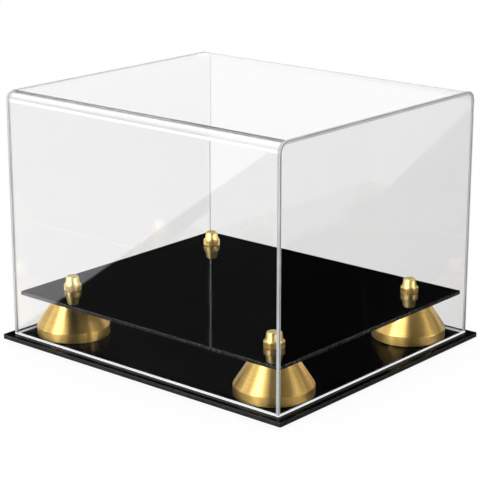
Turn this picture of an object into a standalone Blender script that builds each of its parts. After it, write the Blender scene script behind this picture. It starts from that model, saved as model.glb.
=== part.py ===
"""Display case: a clear cover standing on a black base, over a raised black platform.

Each corner has a post: a gold riser on the base carries the platform, a gold finial nut stands
on top of it, and a long countersunk screw from under the base goes up through all of them.

Frame: metres, +Z up, origin at the middle of the underside, X along the long side.
"""

import math

import bmesh
import bpy

# Touching pieces are kept this far apart.
FACE_GAP = 0.0003

# Cover: one sheet bent over the front, top and rear, with a flat panel bonded to each end.
COVER_LENGTH = 0.300
COVER_WIDTH = 0.260
COVER_HEIGHT = 0.217
COVER_SHEET = 0.003
BEND_INNER_RADIUS = 0.006
BEND_SEGMENTS = 8

# Base plate: it reaches past the cover all round.
BASE_MARGIN = 0.0075
BASE_THICKNESS = 0.004
BASE_CORNER_RADIUS = 0.0015
BASE_CHAMFER = 0.0004

# Platform: it fills the cover's inside but for this clearance to each wall.
PLATFORM_CLEARANCE = 0.002
PLATFORM_THICKNESS = 0.003
PLATFORM_CORNER_RADIUS = 0.0015
PLATFORM_CHAMFER = 0.0003

# Risers: hollow turned cones on a straight band, with a boss round the screw.
RISER_DIAMETER = 0.064
RISER_TOP_DIAMETER = 0.029
RISER_HEIGHT = 0.0359
RISER_BAND_HEIGHT = 0.0085
RISER_SHOULDER_RADIUS = 0.0010
RISER_EDGE_CHAMFER = 0.0004
RISER_WALL = 0.002
RISER_BOSS_DIAMETER = 0.011
RISER_SEGMENTS = 36

# Clearance from a riser's band to the cover's end panel and to its long wall.
POST_END_CLEARANCE = 0.0015
POST_SIDE_CLEARANCE = 0.003

# Finial nuts: a grooved collar, a slightly tapered barrel and a rounded shoulder.
FINIAL_HEIGHT = 0.0132
FINIAL_COLLAR_RADIUS = 0.00765
FINIAL_COLLAR_HEIGHT = 0.0052
FINIAL_COLLAR_CHAMFER = 0.0003
FINIAL_BARREL_RADIUS = 0.0063
FINIAL_BARREL_TOP_RADIUS = 0.0054
FINIAL_TOP_RADIUS = 0.0026
FINIAL_SHOULDER_HEIGHT = 0.0022
FINIAL_SHOULDER_STEPS = 3
FINIAL_GROOVES = 12
FINIAL_GROOVE_DEPTH = 0.0005
FINIAL_GROOVE_HALF_ANGLE = math.radians(3)

# Screws: countersunk, with a hexagon socket.
SCREW_DIAMETER = 0.004
SCREW_CLEARANCE = 0.0004
THREAD_ENGAGEMENT = 0.0064
BORE_TIP_CLEARANCE = 0.0015
SCREW_TIP_CHAMFER = 0.0005
HEAD_DIAMETER = 0.008
HEAD_RIM = 0.0003
HEAD_RECESS = 0.0002
SOCKET_ACROSS_FLATS = 0.0025
SOCKET_DEPTH = 0.0014
SCREW_SEGMENTS = 20
BORE_SEGMENTS = 24

# Feet: small bumpers under the base's corners.
FOOT_DIAMETER = 0.012
FOOT_SOLE_DIAMETER = 0.010
FOOT_HEIGHT = 0.002
FOOT_EDGE_INSET = 0.020
FOOT_SEGMENTS = 24

CORNER_SEGMENTS = 3
CUTTER_OVERRUN = 0.001
SHARP_ANGLE = math.radians(25)

# Heights, from the surface that the case stands on.
BASE_BOTTOM = FOOT_HEIGHT + FACE_GAP
BASE_TOP = BASE_BOTTOM + BASE_THICKNESS
COVER_BOTTOM = BASE_TOP + FACE_GAP
RISER_BOTTOM = BASE_TOP + FACE_GAP
PLATFORM_BOTTOM = RISER_BOTTOM + RISER_HEIGHT + FACE_GAP
PLATFORM_TOP = PLATFORM_BOTTOM + PLATFORM_THICKNESS
FINIAL_BOTTOM = PLATFORM_TOP + FACE_GAP
SCREW_BOTTOM = BASE_BOTTOM + HEAD_RECESS

# Sizes that follow from the ones above.
COVER_INNER_LENGTH = COVER_LENGTH - 2 * COVER_SHEET
COVER_INNER_WIDTH = COVER_WIDTH - 2 * COVER_SHEET
BEND_OUTER_RADIUS = BEND_INNER_RADIUS + COVER_SHEET
WRAP_LENGTH = COVER_INNER_LENGTH - 2 * FACE_GAP
BASE_LENGTH = COVER_LENGTH + 2 * BASE_MARGIN
BASE_WIDTH = COVER_WIDTH + 2 * BASE_MARGIN
PLATFORM_LENGTH = COVER_INNER_LENGTH - 2 * PLATFORM_CLEARANCE
PLATFORM_WIDTH = COVER_INNER_WIDTH - 2 * PLATFORM_CLEARANCE
POST_X = COVER_INNER_LENGTH / 2 - POST_END_CLEARANCE - RISER_DIAMETER / 2
POST_Y = COVER_INNER_WIDTH / 2 - POST_SIDE_CLEARANCE - RISER_DIAMETER / 2
FOOT_X = BASE_LENGTH / 2 - FOOT_EDGE_INSET
FOOT_Y = BASE_WIDTH / 2 - FOOT_EDGE_INSET
SCREW_LENGTH = FINIAL_BOTTOM + THREAD_ENGAGEMENT - SCREW_BOTTOM
BORE_RADIUS = SCREW_DIAMETER / 2 + SCREW_CLEARANCE
HEAD_CONE_HEIGHT = (HEAD_DIAMETER - SCREW_DIAMETER) / 2

# Corner signs, in the order of the numbers in the node names: front left, front right, rear right, rear left.
CORNERS = ((-1, -1), (1, -1), (1, 1), (-1, 1))


def clear_scene():
    """Removes every object that the scene starts with."""
    for obj in list(bpy.data.objects):
        bpy.data.objects.remove(obj, do_unlink=True)


def material(name, colour, roughness, metallic=0.0, alpha=1.0):
    """A Principled material; colour is linear red, green and blue."""
    made = bpy.data.materials.new(name)
    made.use_nodes = True
    shader = made.node_tree.nodes["Principled BSDF"]
    shader.inputs["Base Color"].default_value = (*colour, 1.0)
    shader.inputs["Roughness"].default_value = roughness
    shader.inputs["Metallic"].default_value = metallic
    shader.inputs["Alpha"].default_value = alpha
    made.diffuse_color = (*colour, alpha)
    return made


def place(name, bm, finish=None, location=(0, 0, 0), parent=None):
    """Turns a bmesh into a named object, shaded smooth but for its sharp edges."""
    bmesh.ops.recalc_face_normals(bm, faces=bm.faces)
    mesh = bpy.data.meshes.new(name)
    bm.to_mesh(mesh)
    bm.free()
    mesh.shade_smooth()
    mesh.set_sharp_from_angle(angle=SHARP_ANGLE)
    if finish:
        mesh.materials.append(finish)
    obj = bpy.data.objects.new(name, mesh)
    obj.location = location
    obj.parent = parent
    bpy.context.scene.collection.objects.link(obj)
    return obj


def axis_empty(name, location):
    """An empty on the axis that a group of pieces shares."""
    empty = bpy.data.objects.new(name, None)
    empty.location = location
    bpy.context.scene.collection.objects.link(empty)
    return empty


def arc(centre_u, centre_v, radius, start, end, segments):
    """Points along an arc in a plane, with both of its ends."""
    turn = (end - start) / segments
    return [
        (centre_u + radius * math.cos(start + turn * i), centre_v + radius * math.sin(start + turn * i))
        for i in range(segments + 1)
    ]


def even_angles(segments):
    """Equally spaced angles round a full turn."""
    return [math.tau * i / segments for i in range(segments)]


def turned(outline, angles, bored=False, radius_at=None):
    """A bmesh turned about Z from an outline of (radius, height) points, top to bottom.

    A bored outline is a closed loop. An open one gets a flat cap at each end. radius_at, given
    the outline's index, the radius and the angle's index, shapes a ring that isn't round.
    """
    bm = bmesh.new()
    rings = []
    for row, (radius, height) in enumerate(outline):
        ring = []
        for step, angle in enumerate(angles):
            r = radius_at(row, radius, step) if radius_at else radius
            ring.append(bm.verts.new((r * math.cos(angle), r * math.sin(angle), height)))
        rings.append(ring)
    following = rings[1:] + rings[:1] if bored else rings[1:]
    count = len(angles)
    for upper, lower in zip(rings, following):
        for i in range(count):
            j = (i + 1) % count
            bm.faces.new((upper[i], lower[i], lower[j], upper[j]))
    if not bored:
        bm.faces.new(rings[0])
        bm.faces.new(list(reversed(rings[-1])))
    return bm


def plate(length, width, thickness, corner_radius, chamfer):
    """A bmesh of a flat plate on z = 0, with rounded corners and chamfered edges."""
    half_x = length / 2 - corner_radius
    half_y = width / 2 - corner_radius
    outline = []
    for quarter, (sign_x, sign_y) in enumerate(((1, 1), (-1, 1), (-1, -1), (1, -1))):
        start = quarter * math.pi / 2
        outline += arc(sign_x * half_x, sign_y * half_y, corner_radius, start, start + math.pi / 2, CORNER_SEGMENTS)
    bm = bmesh.new()
    floor = bm.faces.new([bm.verts.new((x, y, 0)) for x, y in outline])
    raised = bmesh.ops.extrude_face_region(bm, geom=[floor])["geom"]
    moved = [item for item in raised if isinstance(item, bmesh.types.BMVert)]
    bmesh.ops.translate(bm, verts=moved, vec=(0, 0, thickness))
    rims = [edge for edge in bm.edges if edge.verts[0].co.z == edge.verts[1].co.z]
    bmesh.ops.bevel(bm, geom=rims, offset=chamfer, segments=1, affect="EDGES")
    return bm


def cut(obj, cutter):
    """Subtracts a hidden cutter from an object."""
    cutter.hide_render = True
    cutter.display_type = "WIRE"
    modifier = obj.modifiers.new("cut_" + cutter.name, "BOOLEAN")
    modifier.operation = "DIFFERENCE"
    modifier.solver = "EXACT"
    modifier.object = cutter


def build_cover(finish):
    """The bent sheet and the two end panels, which lift off together."""
    axis = axis_empty("cover_lift_axis", (0, 0, COVER_BOTTOM))

    # The bend's stations run from the front wall's foot, over the top, to the rear wall's foot.
    bend_y = COVER_WIDTH / 2 - BEND_OUTER_RADIUS
    bend_z = COVER_HEIGHT - BEND_OUTER_RADIUS
    sides = []
    for radius in (BEND_OUTER_RADIUS, BEND_INNER_RADIUS):
        side = [(-bend_y - radius, 0)]
        side += arc(-bend_y, bend_z, radius, math.pi, math.pi / 2, BEND_SEGMENTS)
        side += arc(bend_y, bend_z, radius, math.pi / 2, 0, BEND_SEGMENTS)
        side += [(bend_y + radius, 0)]
        sides.append(side)
    outer, inner = sides
    bm = bmesh.new()
    half = WRAP_LENGTH / 2
    stations = [
        [bm.verts.new((x, y, z)) for x, (y, z) in ((-half, o), (half, o), (half, i), (-half, i))]
        for o, i in zip(outer, inner)
    ]
    for here, there in zip(stations, stations[1:]):
        for a in range(4):
            b = (a + 1) % 4
            bm.faces.new((here[a], here[b], there[b], there[a]))
    bm.faces.new(stations[0])
    bm.faces.new(stations[-1])
    place("cover_wrap", bm, finish, parent=axis)

    panel = [(-COVER_WIDTH / 2, 0)]
    panel += arc(-bend_y, bend_z, BEND_OUTER_RADIUS, math.pi, math.pi / 2, BEND_SEGMENTS)
    panel += arc(bend_y, bend_z, BEND_OUTER_RADIUS, math.pi / 2, 0, BEND_SEGMENTS)
    panel += [(COVER_WIDTH / 2, 0)]
    for name, side in (("cover_end_left", -1), ("cover_end_right", 1)):
        bm = bmesh.new()
        face = bm.faces.new([bm.verts.new((side * COVER_INNER_LENGTH / 2, y, z)) for y, z in panel])
        raised = bmesh.ops.extrude_face_region(bm, geom=[face])["geom"]
        moved = [item for item in raised if isinstance(item, bmesh.types.BMVert)]
        bmesh.ops.translate(bm, verts=moved, vec=(side * COVER_SHEET, 0, 0))
        place(name, bm, finish, parent=axis)


def build_plates(finish):
    """The base plate and the platform, without their holes."""
    base = plate(BASE_LENGTH, BASE_WIDTH, BASE_THICKNESS, BASE_CORNER_RADIUS, BASE_CHAMFER)
    platform = plate(
        PLATFORM_LENGTH, PLATFORM_WIDTH, PLATFORM_THICKNESS, PLATFORM_CORNER_RADIUS, PLATFORM_CHAMFER
    )
    return (
        place("base_plate", base, finish, location=(0, 0, BASE_BOTTOM)),
        place("platform", platform, finish, location=(0, 0, PLATFORM_BOTTOM)),
    )


def riser_mesh():
    """A hollow cone on a straight band, closed at the top round a boss with the screw's bore."""
    radius = RISER_DIAMETER / 2
    top_radius = RISER_TOP_DIAMETER / 2
    cone_height = RISER_HEIGHT - RISER_BAND_HEIGHT
    slope = math.atan2(radius - top_radius, cone_height)
    # The shoulder's arc meets the band and the cone without a kink.
    reach = RISER_SHOULDER_RADIUS * math.tan(slope / 2)
    shoulder = arc(
        radius - RISER_SHOULDER_RADIUS, RISER_BAND_HEIGHT - reach, RISER_SHOULDER_RADIUS, slope, 0, 2
    )
    # The inner wall is the outer one moved in by the wall's thickness, square to the surface.
    inner_band = RISER_BAND_HEIGHT - RISER_WALL * math.tan(slope / 2)
    roof = RISER_HEIGHT - RISER_WALL
    inner_top = radius - RISER_WALL - (roof - inner_band) * math.tan(slope)
    boss = RISER_BOSS_DIAMETER / 2
    outline = [(top_radius - RISER_EDGE_CHAMFER, RISER_HEIGHT)]
    outline += [(top_radius, RISER_HEIGHT - RISER_EDGE_CHAMFER)]
    outline += shoulder
    outline += [(radius, RISER_EDGE_CHAMFER), (radius - RISER_EDGE_CHAMFER, 0)]
    outline += [(radius - RISER_WALL, 0), (radius - RISER_WALL, inner_band), (inner_top, roof)]
    outline += [(boss, roof), (boss, 0), (BORE_RADIUS, 0), (BORE_RADIUS, RISER_HEIGHT)]
    return turned(outline, even_angles(RISER_SEGMENTS), bored=True)


def finial_mesh():
    """A nut with a grooved collar, a tapered barrel and a blind bore from below."""
    collar_low = FINIAL_COLLAR_CHAMFER
    collar_high = FINIAL_COLLAR_HEIGHT - FINIAL_COLLAR_CHAMFER
    shoulder_base = FINIAL_HEIGHT - FINIAL_SHOULDER_HEIGHT
    outline = []
    for i in range(FINIAL_SHOULDER_STEPS + 1):
        turn = math.pi / 2 * (1 - i / FINIAL_SHOULDER_STEPS)
        outline.append(
            (
                FINIAL_TOP_RADIUS + (FINIAL_BARREL_TOP_RADIUS - FINIAL_TOP_RADIUS) * math.cos(turn),
                shoulder_base + FINIAL_SHOULDER_HEIGHT * math.sin(turn),
            )
        )
    outline += [(FINIAL_BARREL_RADIUS, FINIAL_COLLAR_HEIGHT)]
    collar_first = len(outline)
    outline += [(FINIAL_COLLAR_RADIUS - FINIAL_COLLAR_CHAMFER, FINIAL_COLLAR_HEIGHT)]
    outline += [(FINIAL_COLLAR_RADIUS, collar_high), (FINIAL_COLLAR_RADIUS, collar_low)]
    outline += [(FINIAL_COLLAR_RADIUS - FINIAL_COLLAR_CHAMFER, 0)]
    collar_last = len(outline) - 1
    bore_end = THREAD_ENGAGEMENT + BORE_TIP_CLEARANCE
    outline += [(BORE_RADIUS, 0), (BORE_RADIUS, bore_end)]

    # Each pitch of the collar has a groove's bottom, its two sides and the middle of the land.
    pitch = math.tau / FINIAL_GROOVES
    within = (0, FINIAL_GROOVE_HALF_ANGLE, pitch / 2, pitch - FINIAL_GROOVE_HALF_ANGLE)
    angles = [pitch * groove + part for groove in range(FINIAL_GROOVES) for part in within]

    def grooved(row, radius, step):
        in_groove = collar_first <= row <= collar_last and step % len(within) == 0
        return radius - FINIAL_GROOVE_DEPTH if in_groove else radius

    return turned(outline, angles, radius_at=grooved)


def screw_mesh():
    """A countersunk screw on z = 0, head down, with its thread drawn as a plain shank."""
    head = HEAD_DIAMETER / 2
    shank = SCREW_DIAMETER / 2
    outline = [(shank - SCREW_TIP_CHAMFER, SCREW_LENGTH), (shank, SCREW_LENGTH - SCREW_TIP_CHAMFER)]
    outline += [(shank, HEAD_RIM + HEAD_CONE_HEIGHT), (head, HEAD_RIM), (head, 0)]
    return turned(outline, even_angles(SCREW_SEGMENTS))


def socket_cutter_mesh():
    """The hexagon socket in a screw's head."""
    corner = SOCKET_ACROSS_FLATS / 2 / math.cos(math.pi / 6)
    return turned([(corner, SOCKET_DEPTH), (corner, -CUTTER_OVERRUN)], even_angles(6))


def countersink_cutter_mesh():
    """The hole in the base for a screw: its head's seat and its shank's bore, from z = 0 up."""
    seat = HEAD_DIAMETER / 2 + SCREW_CLEARANCE
    rim = HEAD_RECESS + HEAD_RIM
    outline = [(BORE_RADIUS, BASE_THICKNESS + CUTTER_OVERRUN), (BORE_RADIUS, rim + HEAD_CONE_HEIGHT)]
    outline += [(seat, rim), (seat, -CUTTER_OVERRUN)]
    return turned(outline, even_angles(BORE_SEGMENTS))


def bore_cutter_mesh(depth):
    """A straight hole for a screw's shank through a sheet of this thickness, from z = 0 up."""
    outline = [(BORE_RADIUS, depth + CUTTER_OVERRUN), (BORE_RADIUS, -CUTTER_OVERRUN)]
    return turned(outline, even_angles(BORE_SEGMENTS))


def foot_mesh():
    """A bumper foot, a little narrower at its sole."""
    outline = [(FOOT_DIAMETER / 2, FOOT_HEIGHT), (FOOT_SOLE_DIAMETER / 2, 0)]
    return turned(outline, even_angles(FOOT_SEGMENTS))


def build_posts(base, platform, gold, polished_gold, steel):
    """A riser, a screw and a finial on each post's axis, and their holes in the plates."""
    for number, (sign_x, sign_y) in enumerate(CORNERS, start=1):
        axis = axis_empty(f"post_axis_{number}", (sign_x * POST_X, sign_y * POST_Y, 0))
        place(f"riser_{number}", riser_mesh(), gold, (0, 0, RISER_BOTTOM), axis)
        place(f"finial_{number}", finial_mesh(), polished_gold, (0, 0, FINIAL_BOTTOM), axis)
        screw = place(f"screw_{number}", screw_mesh(), steel, (0, 0, SCREW_BOTTOM), axis)
        socket = place(f"socket_cutter_{number}", socket_cutter_mesh(), None, (0, 0, SCREW_BOTTOM), axis)
        seat = place(f"seat_cutter_{number}", countersink_cutter_mesh(), None, (0, 0, BASE_BOTTOM), axis)
        hole = place(
            f"hole_cutter_{number}", bore_cutter_mesh(PLATFORM_THICKNESS), None, (0, 0, PLATFORM_BOTTOM), axis
        )
        cut(screw, socket)
        cut(base, seat)
        cut(platform, hole)


def build_feet(finish):
    """A bumper near each corner of the base's underside."""
    for number, (sign_x, sign_y) in enumerate(CORNERS, start=1):
        place(f"foot_{number}", foot_mesh(), finish, (sign_x * FOOT_X, sign_y * FOOT_Y, 0))


def main():
    """Builds the whole case."""
    clear_scene()
    clear_acrylic = material("clear_acrylic", (0.92, 0.94, 0.95), 0.03, alpha=0.25)
    black_acrylic = material("black_acrylic", (0.006, 0.006, 0.007), 0.06)
    satin_gold = material("satin_gold", (0.66, 0.44, 0.12), 0.28, metallic=1.0)
    polished_gold = material("polished_gold", (0.83, 0.62, 0.24), 0.10, metallic=1.0)
    zinc_steel = material("zinc_steel", (0.55, 0.56, 0.58), 0.30, metallic=1.0)
    black_rubber = material("black_rubber", (0.012, 0.012, 0.012), 0.80)
    build_cover(clear_acrylic)
    base, platform = build_plates(black_acrylic)
    build_posts(base, platform, satin_gold, polished_gold, zinc_steel)
    build_feet(black_rubber)
    bpy.context.view_layer.update()


main()
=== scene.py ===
"""The looks of a clear display case: a bent acrylic cover, two black sheets, turned gold posts.

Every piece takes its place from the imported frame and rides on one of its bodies. Sizes are metres.
"""

import logging
import math
from dataclasses import dataclass, field
from enum import Enum
from typing import Any, Callable

import bmesh
import bpy
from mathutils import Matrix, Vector


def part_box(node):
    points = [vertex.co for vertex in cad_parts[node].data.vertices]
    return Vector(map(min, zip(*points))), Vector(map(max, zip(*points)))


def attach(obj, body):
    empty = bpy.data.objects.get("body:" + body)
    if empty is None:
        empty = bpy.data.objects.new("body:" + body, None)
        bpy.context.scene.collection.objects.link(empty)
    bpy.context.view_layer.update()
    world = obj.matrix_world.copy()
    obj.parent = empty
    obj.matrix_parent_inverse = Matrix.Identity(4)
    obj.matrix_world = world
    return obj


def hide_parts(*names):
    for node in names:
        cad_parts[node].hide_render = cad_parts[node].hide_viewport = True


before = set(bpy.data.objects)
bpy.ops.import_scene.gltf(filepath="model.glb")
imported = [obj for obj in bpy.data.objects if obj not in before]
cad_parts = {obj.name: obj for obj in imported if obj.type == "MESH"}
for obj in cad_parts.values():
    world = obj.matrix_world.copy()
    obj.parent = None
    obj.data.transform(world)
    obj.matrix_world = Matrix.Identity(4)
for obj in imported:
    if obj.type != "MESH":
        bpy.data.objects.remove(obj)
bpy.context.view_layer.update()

MM = 0.001
CORNERS = (1, 2, 3, 4)
SMOOTH_BELOW = math.radians(48)
FLAT_WALL = 0.99999
SAME_PLACE = 1e-6
ACRYLIC_INDEX = 1.49
RAY_SETTINGS = {"max_bounces": 128, "transmission_bounces": 64, "glossy_bounces": 96, "diffuse_bounces": 3,
                "blur_glossy": 0.0, "caustics_reflective": False, "caustics_refractive": False}
LOG = logging.getLogger("display_case")

Point = tuple[float, float]
Pair = tuple[float, float]
Vector3 = tuple[float, float, float]


# ---------------------------------------------------------------- node helpers


def linear(hex_colour: str) -> tuple[float, float, float, float]:
    """Turns an sRGB hex colour to linear red, green, blue and alpha.

    Args:
        hex_colour: six hex digits, with or without a leading hash.

    Returns:
        The linear colour with alpha 1.
    """
    digits = hex_colour.lstrip("#")
    parts = [int(digits[i : i + 2], 16) / 255 for i in (0, 2, 4)]
    red, green, blue = [c / 12.92 if c <= 0.04045 else ((c + 0.055) / 1.055) ** 2.4 for c in parts]
    return (red, green, blue, 1.0)


def per_metre(millimetres: float) -> float:
    """The texture scale that draws one feature in this many millimetres."""
    return 1 / (millimetres * MM)


def add_node(tree: bpy.types.NodeTree, kind: str, settings: dict[str, Any] | None = None,
             links: dict[Any, Any] | None = None) -> bpy.types.Node:
    """Adds a node to a tree.

    Args:
        tree: the tree that gets it.
        kind: the node's type name.
        settings: attributes of the node.
        links: input name or number to a value, or to the output socket that feeds it.

    Returns:
        The new node.
    """
    node = tree.nodes.new(kind)
    for name, value in (settings or {}).items():
        setattr(node, name, value)
    for name, value in (links or {}).items():
        socket = node.inputs[name]
        if isinstance(value, bpy.types.NodeSocket):
            tree.links.new(value, socket)
        else:
            socket.default_value = value
    return node


def maths(tree: bpy.types.NodeTree, operation: str, *values: Any) -> bpy.types.NodeSocket:
    """The output of a Math node whose inputs are these values or sockets, in order."""
    return add_node(tree, "ShaderNodeMath", {"operation": operation}, dict(enumerate(values))).outputs[0]


def vector_maths(tree: bpy.types.NodeTree, operation: str, links: dict[Any, Any]) -> bpy.types.NodeSocket:
    """The first output of a Vector Math node with these inputs."""
    return add_node(tree, "ShaderNodeVectorMath", {"operation": operation}, links).outputs[0]


def blend(tree: bpy.types.NodeTree, share: Any, first: str, second: str) -> bpy.types.NodeSocket:
    """A mix of two sRGB hex colours: the first where share is 0, the second where it is 1."""
    links = {"Factor": share, "A": linear(first), "B": linear(second)}
    return add_node(tree, "ShaderNodeMix", {"data_type": "RGBA"}, links).outputs["Result"]


def mixed(tree: bpy.types.NodeTree, share: Any, first: bpy.types.Node,
          second: bpy.types.Node) -> bpy.types.Node:
    """A mix of two shaders: the first where share is 0, the second where it is 1."""
    links = {0: share, 1: first.outputs[0], 2: second.outputs[0]}
    return add_node(tree, "ShaderNodeMixShader", None, links)


def smooth_step(tree: bpy.types.NodeTree, value: Any, start: float, end: float,
                low: float = 0.0, high: float = 1.0) -> bpy.types.NodeSocket:
    """Makes a value change smoothly between two levels.

    Args:
        tree: the tree that gets the node.
        value: the value that it follows.
        start: where the change starts.
        end: where it ends, on either side of start.
        low: the level at start.
        high: the level at end.

    Returns:
        The level.
    """
    links = {"Value": value, "From Min": start, "From Max": end, "To Min": low, "To Max": high}
    node = add_node(tree, "ShaderNodeMapRange", {"interpolation_type": "SMOOTHSTEP"}, links)
    return node.outputs[0]


def object_position(tree: bpy.types.NodeTree, scale: Vector3 = (1, 1, 1)) -> bpy.types.NodeSocket:
    """Object coordinates, stretched by scale."""
    place = add_node(tree, "ShaderNodeTexCoord")
    return add_node(tree, "ShaderNodeMapping", None, {0: place.outputs["Object"], "Scale": scale}).outputs[0]


def noise(tree: bpy.types.NodeTree, position: Any, size_mm: float,
          detail: float = 3.0) -> bpy.types.NodeSocket:
    """The value of a noise whose features are size_mm across."""
    links = {"Vector": position, "Scale": per_metre(size_mm), "Detail": detail, "Roughness": 0.5}
    return add_node(tree, "ShaderNodeTexNoise", None, links).outputs[0]


def add_sheet(name: str, points: list[Vector3]) -> bpy.types.Object:
    """Adds a flat sheet.

    Args:
        name: the sheet's name.
        points: its corners, in order.

    Returns:
        The sheet, linked to the scene at the origin.
    """
    mesh = bpy.data.meshes.new(name)
    mesh.from_pydata(points, [], [tuple(range(len(points)))])
    return add_object(name, mesh)


def add_object(name: str, data: Any) -> bpy.types.Object:
    """Adds an object that shows this mesh, camera or lamp to the scene."""
    obj = bpy.data.objects.new(name, data)
    bpy.context.scene.collection.objects.link(obj)
    return obj


# ---------------------------------------------------------------- finishes


@dataclass(frozen=True)
class Finish:
    """What a surface is made of, and how its maker left it."""

    name: str

    def material(self) -> bpy.types.Material:
        """Makes the finish as a node material, or finds it if it was made before.

        Returns:
            The material.
        """
        made = bpy.data.materials.get(self.name)
        if made:
            return made
        made = bpy.data.materials.new(self.name)
        made.use_nodes = True
        self.dress(made.node_tree, made.node_tree.nodes["Principled BSDF"])
        return made

    def dress(self, tree: bpy.types.NodeTree, shader: bpy.types.Node) -> None:
        """Sets the shader of this finish.

        Args:
            tree: the material's tree.
            shader: its Principled BSDF.
        """
        raise NotImplementedError

    @staticmethod
    def relief(tree: bpy.types.NodeTree, shader: bpy.types.Node, height: Any, depth_mm: float) -> None:
        """Gives the shader a bump of this depth in millimetres from a 0 to 1 height."""
        links = {"Height": height, "Distance": depth_mm * MM, "Strength": 1.0}
        tree.links.new(add_node(tree, "ShaderNodeBump", None, links).outputs[0], shader.inputs["Normal"])

    @staticmethod
    def colour_by(tree: bpy.types.NodeTree, shader: bpy.types.Node, share: Any, first: str,
                  second: str) -> bpy.types.NodeSocket:
        """Colours the shader with a mix of two colours.

        Args:
            tree: the material's tree.
            shader: its Principled BSDF.
            share: how much of the second colour there is, 0 to 1.
            first: a hex colour.
            second: a hex colour.

        Returns:
            The mix.
        """
        mix = blend(tree, share, first, second)
        tree.links.new(mix, shader.inputs["Base Color"])
        return mix

    @staticmethod
    def roughen(tree: bpy.types.NodeTree, shader: bpy.types.Node, value: Any, reach: Pair,
                levels: Pair) -> None:
        """Makes the roughness change between two levels, where value crosses this reach."""
        tree.links.new(smooth_step(tree, value, *reach, *levels), shader.inputs["Roughness"])


@dataclass(frozen=True)
class ClearSheet(Finish):
    """Cast clear acrylic: near perfect gloss, with the faint long waves of a cast sheet."""

    tint: str = "#F8F8F8"
    wave_mm: float = 60.0
    wave_depth_mm: float = 0.004
    haze: float = 0.004
    haze_mm: float = 18.0

    def dress(self, tree: bpy.types.NodeTree, shader: bpy.types.Node) -> None:
        """Sets a refracting shader with a faint wave and a trace of haze.

        Args:
            tree: the material's tree.
            shader: its Principled BSDF.
        """
        shader.inputs["Base Color"].default_value = linear(self.tint)
        shader.inputs["IOR"].default_value = ACRYLIC_INDEX
        shader.inputs["Transmission Weight"].default_value = 1.0
        place = object_position(tree)
        hazes = noise(tree, place, self.haze_mm)
        self.roughen(tree, shader, hazes, (0.45, 0.8), (self.haze * 0.7, self.haze))
        self.relief(tree, shader, noise(tree, place, self.wave_mm, 0.0), self.wave_depth_mm)


@dataclass(frozen=True)
class SawnEdge(Finish):
    """A cut edge of clear acrylic: the saw and the scraper leave it frosted, so it looks milky.

    Its glow stands for the light that the sheet brings to its edge from its big faces.
    """

    colour: str = "#F6F8F8"
    cloud: str = "#EEF0F0"
    cloud_mm: float = 30.0
    clarity: float = 0.3
    roughness: float = 0.4
    glow: float = 0.0
    mark_mm: float = 0.4
    mark_depth_mm: float = 0.006

    def dress(self, tree: bpy.types.NodeTree, shader: bpy.types.Node) -> None:
        """Sets a milky, partly clear shader with fine saw marks.

        Args:
            tree: the material's tree.
            shader: its Principled BSDF.
        """
        place = object_position(tree)
        marks = noise(tree, place, self.mark_mm, 2.0)
        clouds = smooth_step(tree, noise(tree, place, self.cloud_mm), 0.35, 0.7)
        milk = self.colour_by(tree, shader, clouds, self.colour, self.cloud)
        shader.inputs["IOR"].default_value = ACRYLIC_INDEX
        shader.inputs["Transmission Weight"].default_value = self.clarity
        self.roughen(tree, shader, marks, (0.3, 0.7), (self.roughness * 0.8, self.roughness * 1.2))
        if self.glow:
            tree.links.new(milk, shader.inputs["Emission Color"])
            shader.inputs["Emission Strength"].default_value = self.glow
        self.relief(tree, shader, marks, self.mark_depth_mm)


@dataclass(frozen=True)
class BlackSheet(Finish):
    """Black cast acrylic: a dark mirror, with the soft smears that wiping and handling leave."""

    colour: str = "#040405"
    cloud: str = "#080809"
    roughness: float = 0.03
    index: float = 1.6
    gloss: float = 0.5
    smear: float = 2.0
    smear_mm: float = 25.0
    cloud_mm: float = 40.0
    wave_mm: float = 50.0
    wave_depth_mm: float = 0.01

    def dress(self, tree: bpy.types.NodeTree, shader: bpy.types.Node) -> None:
        """Sets a black gloss with smears in its roughness and a faint wave.

        Args:
            tree: the material's tree.
            shader: its Principled BSDF.
        """
        shader.inputs["IOR"].default_value = self.index
        shader.inputs["Specular IOR Level"].default_value = self.gloss
        place = object_position(tree)
        clouds = smooth_step(tree, noise(tree, place, self.cloud_mm), 0.4, 0.7)
        self.colour_by(tree, shader, clouds, self.colour, self.cloud)
        smears = noise(tree, place, self.smear_mm, 4.0)
        self.roughen(tree, shader, smears, (0.4, 0.75), (self.roughness, self.roughness * self.smear))
        self.relief(tree, shader, noise(tree, place, self.wave_mm, 0.0), self.wave_depth_mm)


@dataclass(frozen=True)
class BlackEdge(Finish):
    """The machined edge of black acrylic: satin, with the cutter's fine marks across it."""

    colour: str = "#1A1A1B"
    mark: str = "#1C1C1E"
    roughness: float = 0.28
    index: float = 1.6
    mark_mm: float = 0.7
    mark_depth_mm: float = 0.01
    mark_stretch: Vector3 = (1, 1, 0.15)

    def dress(self, tree: bpy.types.NodeTree, shader: bpy.types.Node) -> None:
        """Sets a dark satin shader with marks that run across the edge.

        Args:
            tree: the material's tree.
            shader: its Principled BSDF.
        """
        marks = noise(tree, object_position(tree, self.mark_stretch), self.mark_mm, 2.0)
        self.colour_by(tree, shader, smooth_step(tree, marks, 0.4, 0.7), self.colour, self.mark)
        shader.inputs["IOR"].default_value = self.index
        self.roughen(tree, shader, marks, (0.3, 0.7), (self.roughness * 0.8, self.roughness * 1.2))
        self.relief(tree, shader, marks, self.mark_depth_mm)


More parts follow.
